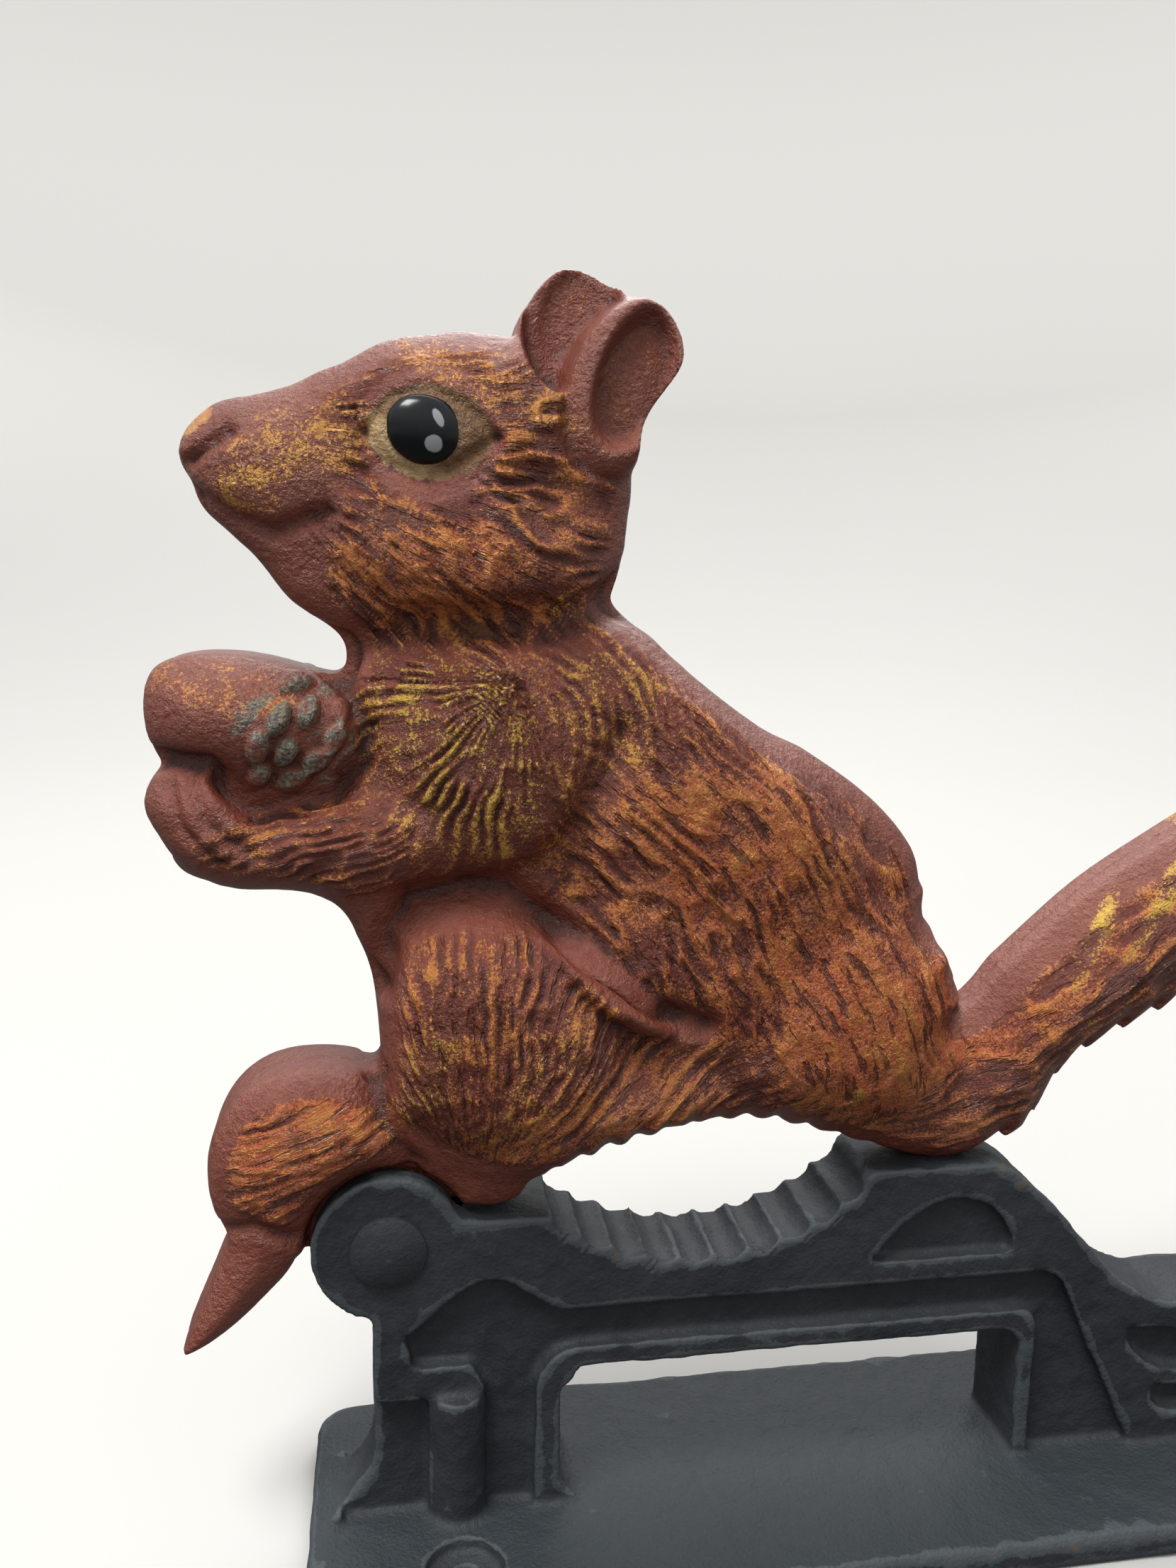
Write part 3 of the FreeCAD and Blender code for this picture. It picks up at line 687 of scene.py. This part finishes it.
def layStrands(piece):
    # a UV map that follows the fur: across the strands, then along them, in centimetres
    mesh = piece.data
    layer = mesh.uv_layers.new(name="strands")
    points = readLocal(piece)
    corner = np.empty(len(mesh.loops), dtype=np.int32)
    mesh.loops.foreach_get("vertex_index", corner)
    starts = np.empty(len(mesh.polygons), dtype=np.int32)
    totals = np.empty(len(mesh.polygons), dtype=np.int32)
    mesh.polygons.foreach_get("loop_start", starts)
    mesh.polygons.foreach_get("loop_total", totals)
    face = np.repeat(np.arange(len(starts)), totals)
    middle = np.zeros((len(starts), 3))
    np.add.at(middle, face, points[corner])
    middle /= totals[:, None]
    names = list(coats)
    shares = coatShares(middle[:, 0], middle[:, 2])[0]
    best = np.argmax([shares[name] for name in names], axis=0)
    uv = np.zeros((len(corner), 2))
    for index, name in enumerate(names):
        mine = best[face] == index
        across, along = strandPlace(coats[name], points[corner[mine], 0], points[corner[mine], 2])
        uv[mine, 0], uv[mine, 1] = across / 10 + index * 3, along / 10
    layer.data.foreach_set("uv", uv.astype(np.float32).ravel())


paintedOvals = {"eyeRing": (5.4, 94.0, 6.5, 4.8, -6), "litRing": (-0.5, 91.5, 8.0, 3.6, -35),
                "nose": (-19.6, 95.4, 2.9, 1.9, 35), "wornPaw": (-9.0, 61.6, 6.0, 6.6, 20)}


def paintSquirrel():
    material = bpy.data.materials.new("squirrelPaint")
    paint = Paint(material, "Principled BSDF", Specular_IOR_Level=0.7)
    place = paint.place()
    strands = paint.node("ShaderNodeUVMap", {"uv_map": "strands"})
    ridge, fur, hollow = paint.attribute("ridge"), paint.attribute("fur"), paint.attribute("hollow")
    gold, orange, yellow = paint.attribute("gold"), paint.attribute("orange"), paint.attribute("yellow")
    streaks = paint.noise(paint.stretch(strands, (22, 5, 1)), 1.0, 4.0, 0.65)
    hairs = paint.noise(paint.stretch(strands, (60, 11, 1)), 1.0, 4.0, 0.65)
    specks = paint.noise(place, 2400.0, 4.0, 0.7)
    clouds = paint.noise(place, 110.0, 3.0)
    patches = paint.noise(place, 300.0, 3.0, 0.6)
    wash = paint.noise(place, 800.0, 4.0, 0.65)
    pits = paint.noise(place, 1300.0, 3.0, 0.6)
    grit = paint.noise(place, 4200.0, 3.0, 0.7)
    tufts = paint.noise(paint.stretch(strands, (9, 1.7, 1)), 1.0, 3.0, 0.6)
    # short nicks between strands
    cuts = tufts.step(0.45, 0.38) * fur * (0.25 + orange.step(0.2, 0.5) * 0.75)
    base = paint.mix(clouds.step(0.35, 0.65), rgb(124, 56, 40), rgb(134, 66, 48))
    base = paint.mix(wash.step(0.45, 0.75) * 0.35, base, rgb(148, 86, 64))
    base = paint.mix((1 - fur) * wash.step(0.3, 0.6) * 0.2, base, rgb(146, 90, 72))
    # painted shade: darker between the fur ridges
    base = paint.mix((fur * (1 - ridge)).step(0.35, 0.9) * 0.4, base, rgb(86, 38, 28))
    # painted shade in the short nicks between strands
    base = paint.mix(cuts * 0.45, base, rgb(80, 34, 26))
    dry = ridge * fur * 0.5 + streaks * 0.3 + hairs * 0.2
    grains = specks * 0.5 + grit * 0.5
    orangeMask = (dry * 0.7 + grains * 1.5 + (patches - 0.5) * 0.5 + orange * 0.36).step(1.3, 1.38)
    orangeMask = orangeMask * orange.step(0.02, 0.2) * (1 - cuts)
    uneven = (grit * 0.7 + clouds * 0.3).step(0.46, 0.56)
    orangeTone = paint.mix(uneven, rgb(186, 82, 42), rgb(196, 122, 70))
    base = paint.mix(orangeMask * 0.85, base, orangeTone)
    line = ridge * fur * 0.7 + (1 - fur) * streaks * 0.9 + hairs * 0.3
    lines = (line + gold.least(1.0) * 0.3 + (patches - 0.5) * 0.6).step(0.88, 0.98)
    dots = (grains + gold.least(1.0) * 0.06).step(0.535, 0.58)
    web = grains * 1.5 + dry * 0.5 + (patches - 0.5) * 0.5 + gold.least(1.0) * (0.12 + (1 - fur) * 0.26)
    web = web.step(1.1, 1.16)                                          # loose specks
    goldMask = (lines * dots).most(web * 0.9) * gold.step(0.02, 0.2) * (1 - cuts * 0.7)
    goldTone = paint.mix(yellow, rgb(216, 146, 78), rgb(228, 188, 82))
    base = paint.mix(goldMask * 0.95, base, goldTone)
    # painted shade: darker in the hollows of the relief
    base = paint.mix((hollow - 0.5).step(0.06, 0.4) * 0.65, base, rgb(52, 23, 18))
    lit = paint.ovalMask(paintedOvals["litRing"], 0.3, 0.4).step(0.0, 1.0)
    ringTone = paint.mix(lit, rgb(112, 74, 34), rgb(196, 164, 116))
    ring = paint.ovalMask(paintedOvals["eyeRing"], 0.05, 0.2).step(0.0, 1.0)
    base = paint.mix(ring, base, paint.mix(wash.step(0.4, 0.7) * 0.5, ringTone, rgb(150, 112, 66)))
    nose = paint.ovalMask(paintedOvals["nose"], 0.1, 0.6).step(0.0, 1.0)
    base = paint.mix(nose, base, paint.mix(wash.step(0.4, 0.7), rgb(186, 118, 60), rgb(206, 146, 84)))
    worn = paint.ovalMask(paintedOvals["wornPaw"], 0.25, 0.8, 500.0).step(0.1, 0.9)
    worn = worn * (1 - hollow).step(0.42, 0.52) * patches.step(0.36, 0.52)
    bareTone = paint.mix(specks.step(0.4, 0.6), rgb(66, 72, 66), rgb(142, 136, 118))
    base = paint.mix(worn * 0.9, base, bareTone)
    paint.send("Base Color", base)
    paint.send("Metallic", goldMask * 0.5)
    paint.send("Roughness", 0.12 + wash * 0.2)
    relief = (streaks * 0.5 + hairs * 0.4) * fur - cuts * 0.5 + pits * 0.6
    relief = relief + wash * 0.5 + specks * 0.3 + grit * 0.25
    paint.send("Normal", paint.bump(relief, 1.0, 0.0006))
    return material


def makeSquirrel():
    for name, side in (("squirrel_near_half", -1), ("squirrel_far_half", 1)):
        piece = copyOfNode("squirrel_lever", name)
        middle = hingePlace[1]
        flattenBeyond(piece, middle + side * squirrelShape["slab"] * mm, side)
        flattenBeyond(piece, middle - side * squirrelShape["overlap"] * mm, -side)
        remesh(piece, squirrelShape["coarse"])
        soften(piece, 2)
        trueOutline(piece)
        soften(piece, 1)
        edgeOf = nearestWall(piece)
        raiseRelief(piece, edgeOf)
        remesh(piece, squirrelShape["fine"])
        soften(piece, 3)
        closeFlat(piece, (0, middle - side * squirrelShape["overlap"] * mm, 0), (0, -side, 0))
        facts = carveFur(piece, edgeOf)
        markPaint(piece, *facts)
        applyModifier(piece, "DECIMATE", ratio=squirrelShape["kept"])
        layStrands(piece)
        makeActive(piece)
        bpy.ops.object.shade_smooth()
        piece.data.materials.append(squirrelPaint)
        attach(piece, "squirrel")
        tell(name, piece)
    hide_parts("squirrel_lever")


# its middle, radius, how far it stands out, and how far its middle is from the parting plane
eyeShape = {"middle": (4.8, 94.2), "radius": 3.75, "bulge": 1.8, "seat": 9.2}


def paintEye():
    material = bpy.data.materials.new("eyeGloss")
    paint = Paint(material, "Principled BSDF", Roughness=0.2, Specular_IOR_Level=0.4)
    x, z = eyeShape["middle"]
    # painted highlights: a pale crescent and a round spot stand in for reflections on the glossy eye
    crescentHighlight = paint.ovalMask((x + 1.4, z + 1.1, 0.45, 0.95, 25), 0.12, 0.4).step(0.0, 1.0)
    spotHighlight = paint.ovalMask((x + 0.9, z - 1.5, 0.9, 0.85, 0), 0.1, 0.35).step(0.0, 1.0)
    paintedHighlight = crescentHighlight.most(spotHighlight)
    sheen = paint.noise(paint.place(), 500.0, 2.0)
    black = paint.mix(sheen, rgb(8, 10, 13), rgb(18, 21, 27))
    paint.send("Base Color", paint.mix(paintedHighlight * 0.85, black, rgb(168, 172, 176)))
    return material


def makeEyes():
    for name, side in (("eye_near", -1), ("eye_far", 1)):
        x, z = eyeShape["middle"]
        deselectAll()
        bpy.ops.mesh.primitive_uv_sphere_add(segments=64, ring_count=32, radius=1.0)
        piece = bpy.context.object
        piece.name = name
        points = readPoints(piece)
        turn = np.arctan2(points[:, 2], points[:, 0])
        uneven = 1 + 0.05 * (grain(7, turn * 2.2 + 9) - 0.5) + 0.06 * np.cos(2 * turn + 0.6)
        across = eyeShape["radius"] * uneven
        points = points * np.stack([across, np.full(len(turn), eyeShape["bulge"]), across], axis=1)
        points += (x, side * eyeShape["seat"], z)
        writeLocal(piece, points)
        makeActive(piece)
        bpy.ops.object.shade_smooth()
        piece.data.materials.append(eyeGloss)
        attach(piece, "squirrel")
        tell(name, piece)


def paintBase():
    material = bpy.data.materials.new("basePaint")
    paint = Paint(material, "Principled BSDF", Specular_IOR_Level=0.22)
    place = paint.place()
    clouds = paint.noise(place, 60.0, 3.0)
    wash = paint.noise(place, 520.0, 4.0, 0.65)
    specks = paint.noise(place, 1900.0, 3.0, 0.6)
    ridge, dustAndTopLight = paint.attribute("ridge"), paint.attribute("dustAndTopLight")
    base = paint.mix(clouds.step(0.35, 0.65), rgb(46, 49, 53), rgb(53, 56, 60))
    base = paint.mix(wash.step(0.45, 0.75) * 0.3, base, rgb(66, 72, 76))
    # dust and painted light from above: up-facing faces near the plate are lighter
    base = paint.mix(dustAndTopLight * (0.5 + specks * 0.5), base, rgb(56, 62, 66))
    scuffs = (ridge + specks * 0.3 + (clouds - 0.5) * 0.8).step(0.86, 0.96)
    base = paint.mix(scuffs * 0.35, base, rgb(96, 104, 108))
    chips = (ridge + specks * 0.3).step(0.98, 1.06) * wash.step(0.57, 0.66) * clouds.step(0.5, 0.6)
    base = paint.mix(chips * 0.6, base, rgb(108, 78, 52))
    paint.send("Base Color", base)
    paint.send("Roughness", 0.42 + wash * 0.2)
    paint.send("Normal", paint.bump(wash * 0.6 + specks * (0.35 + dustAndTopLight * 0.5), 0.8, 0.0004))
    return material


baseShape = {
    "spacing": 0.56,                          # mesh spacing
    "waves": 0.5, "grain": 0.16,              # how uneven the cast skin is, coarse and fine
    "boreKeep": 3.2,                          # round the hinge, where the skin stays true
    "slotHalf": 3.4, "slotReach": 11,         # and between the ears
    "jaw": (34, 4, 24, 11, 4), "jawInset": 0.4,
}


def makeBase():
    piece = copyOfNode("base_casting", "base_body")
    remesh(piece, baseShape["spacing"])
    soften(piece, 2)
    points = readLocal(piece)
    normals = readNormals(piece)
    x, y, z = points.T
    push = (layers(3, 3, x / 4, y / 4, z / 4) - 0.5) * baseShape["waves"]
    push = push + (grain(9, x / 1.3, y / 1.3, z / 1.3) - 0.5) * baseShape["grain"]
    bottom = plateTop - plateThickness
    # the underside and the bore stay as they are
    fromHinge = np.hypot(x, z)
    free = smooth(0.3, 1.0, z - bottom) * smooth(0.2, 1.2, fromHinge - baseShape["boreKeep"])
    inSlot = (np.abs(y) < baseShape["slotHalf"]) & (fromHinge < baseShape["slotReach"])
    push = np.where(inSlot, 0, push * free)
    inJaw = smooth(1.15, 0.9, ovalRadius(x, z, baseShape["jaw"])) * smooth(0.1, 0.5, normals[:, 2])
    push -= baseShape["jawInset"] * inJaw
    points = points + normals * push[:, None]
    writeLocal(piece, points)
    points = readPoints(piece)
    bulge = np.einsum("ij,ij->i", points - neighbourMean(piece, points), readNormals(piece)) / mm
    for _ in range(2):
        bulge = neighbourMean(piece, bulge)
    writeAttribute(piece, "ridge", np.clip(bulge * 12 + 0.5, 0, 1))
    low = smooth(4, 0, z - plateTop) + 0.15                            # most of it lies on the plate
    # up-facing faces, mostly on the plate, are marked for dust and for painted light from above
    writeAttribute(piece, "dustAndTopLight", smooth(0.45, 0.95, readNormals(piece)[:, 2]) * np.minimum(low, 1))
    makeActive(piece)
    bpy.ops.object.shade_smooth()
    piece.data.materials.append(basePaint)
    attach(piece, "base")
    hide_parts("base_casting")
    tell("base_body", piece)


studio = {
    "floorRadius": 0.7, "coveRadius": 1.1, "wallTop": 1.9, "rings": 16,
    "aim": (0, 0, 0.08),              # where both lamps point
    "key": {"place": (-0.45, -0.35, 1.15), "size": 0.45, "power": 13},
    "back": {"place": (0.2, 0.75, 0.95), "size": 0.9, "power": 9},
    "sky": 0.88, "underside": 0.16,   # brightness overhead and from below
    "skyRise": (-0.25, 0.5),          # the rise between them: -1 is straight down, 1 straight up
}


def makeStudio():
    # a pale floor that curves up into a round wall, open at the top
    deselectAll()
    bpy.ops.mesh.primitive_circle_add(vertices=96, radius=studio["floorRadius"], fill_type="NGON")
    stage = bpy.context.object
    stage.name = "floor"
    bpy.ops.object.mode_set(mode="EDIT")
    bpy.ops.mesh.select_mode(type="EDGE")
    bpy.ops.mesh.select_all(action="SELECT")
    rings = studio["rings"]
    radius = studio["floorRadius"]
    height = 0.0
    for step in range(1, rings + 1):
        turn = math.radians(90 * step / rings)
        nextRadius = studio["floorRadius"] + studio["coveRadius"] * math.sin(turn)
        nextHeight = studio["coveRadius"] * (1 - math.cos(turn))
        bpy.ops.mesh.extrude_edges_move(TRANSFORM_OT_translate={"value": (0, 0, nextHeight - height)})
        bpy.ops.transform.resize(value=(nextRadius / radius, nextRadius / radius, 1))
        radius, height = nextRadius, nextHeight
    bpy.ops.mesh.extrude_edges_move(TRANSFORM_OT_translate={"value": (0, 0, studio["wallTop"] - height)})
    bpy.ops.mesh.select_all(action="SELECT")
    bpy.ops.mesh.normals_make_consistent(inside=True)
    bpy.ops.object.mode_set(mode="OBJECT")
    bpy.ops.object.shade_smooth()
    material = bpy.data.materials.new("paleFloor")
    paint = Paint(material, "Principled BSDF", Roughness=0.7, Specular_IOR_Level=0.1, Emission_Strength=1.0)
    place = paint.place()
    height = paint.node("ShaderNodeSeparateXYZ", {}, {0: place}, out="Z")
    floorTone = paint.mix(paint.noise(place, 3.0, 2.0), rgb(194, 193, 190), rgb(198, 197, 194))
    paint.send("Base Color", paint.mix(height.step(0.0, 0.9), floorTone, rgb(240, 239, 236)))
    paint.send("Emission Color", paint.mix(height.step(0.02, 0.4), rgb(0, 0, 0), rgb(127, 126, 123)))
    stage.data.materials.append(material)
    stage.visible_diffuse = False                 # it is seen, but sends no light back on the piece
    stage.visible_glossy = False
    for name in ("key", "back"):
        spec = studio[name]
        bpy.ops.object.light_add(type="AREA", location=spec["place"])
        lamp = bpy.context.object
        lamp.name = name + "Light"
        lamp.data.size = spec["size"]
        lamp.data.energy = spec["power"]
        aim = Vector(studio["aim"]) - Vector(spec["place"])
        lamp.rotation_euler = aim.to_track_quat("-Z", "Y").to_euler()
    world = bpy.data.worlds.new("studioWorld")
    bpy.context.scene.world = world
    sky = Paint(world, "Background", Color=rgb(246, 246, 244))
    direction = sky.node("ShaderNodeTexCoord", out="Generated")
    upward = sky.node("ShaderNodeSeparateXYZ", {}, {0: direction}, out="Z")
    low, high = studio["skyRise"]
    sky.send("Strength", sky.node("ShaderNodeMapRange", {}, {
        "Value": upward, "From Min": low, "From Max": high, "To Min": studio["underside"],
        "To Max": studio["sky"]}, out="Result"))
    bpy.context.scene.view_settings.view_transform = "Standard"
    print("studio ready")


# millimetres, degrees and the lens
view = {"fromHinge": (1.2, -141.4, 79.3), "yaw": 9.2, "pitch": 9.6, "roll": -0.9, "lens": 28.0}


def makeCamera():
    yaw, pitch, roll = (math.radians(view[name]) for name in ("yaw", "pitch", "roll"))
    ahead = Vector((math.sin(yaw) * math.cos(pitch), math.cos(yaw) * math.cos(pitch), -math.sin(pitch)))
    right = Vector((math.cos(yaw), -math.sin(yaw), 0))
    up = right.cross(ahead)
    leanRight = right * math.cos(roll) - up * math.sin(roll)
    leanUp = right * math.sin(roll) + up * math.cos(roll)
    data = bpy.data.cameras.new("camera")
    data.sensor_fit = "VERTICAL"
    data.sensor_height = 36.0
    data.lens = view["lens"]
    data.clip_start = 0.01
    camera = bpy.data.objects.new("camera", data)
    bpy.context.collection.objects.link(camera)
    place = Vector(hingePlace) + Vector(view["fromHinge"]) * mm
    axes = Matrix((leanRight, leanUp, -ahead)).transposed()
    camera.matrix_world = Matrix.Translation(place) @ axes.to_4x4()
    bpy.context.scene.camera = camera
    print("camera ready")


makeStudio()
makeCamera()
squirrelPaint = paintSquirrel()
eyeGloss = paintEye()
basePaint = paintBase()
makeBase()
makeSquirrel()
makeEyes()
pin = frame["nodes"]["hinge_pin"]
pin.data.materials.clear()
pin.data.materials.append(basePaint)
print("pin painted")
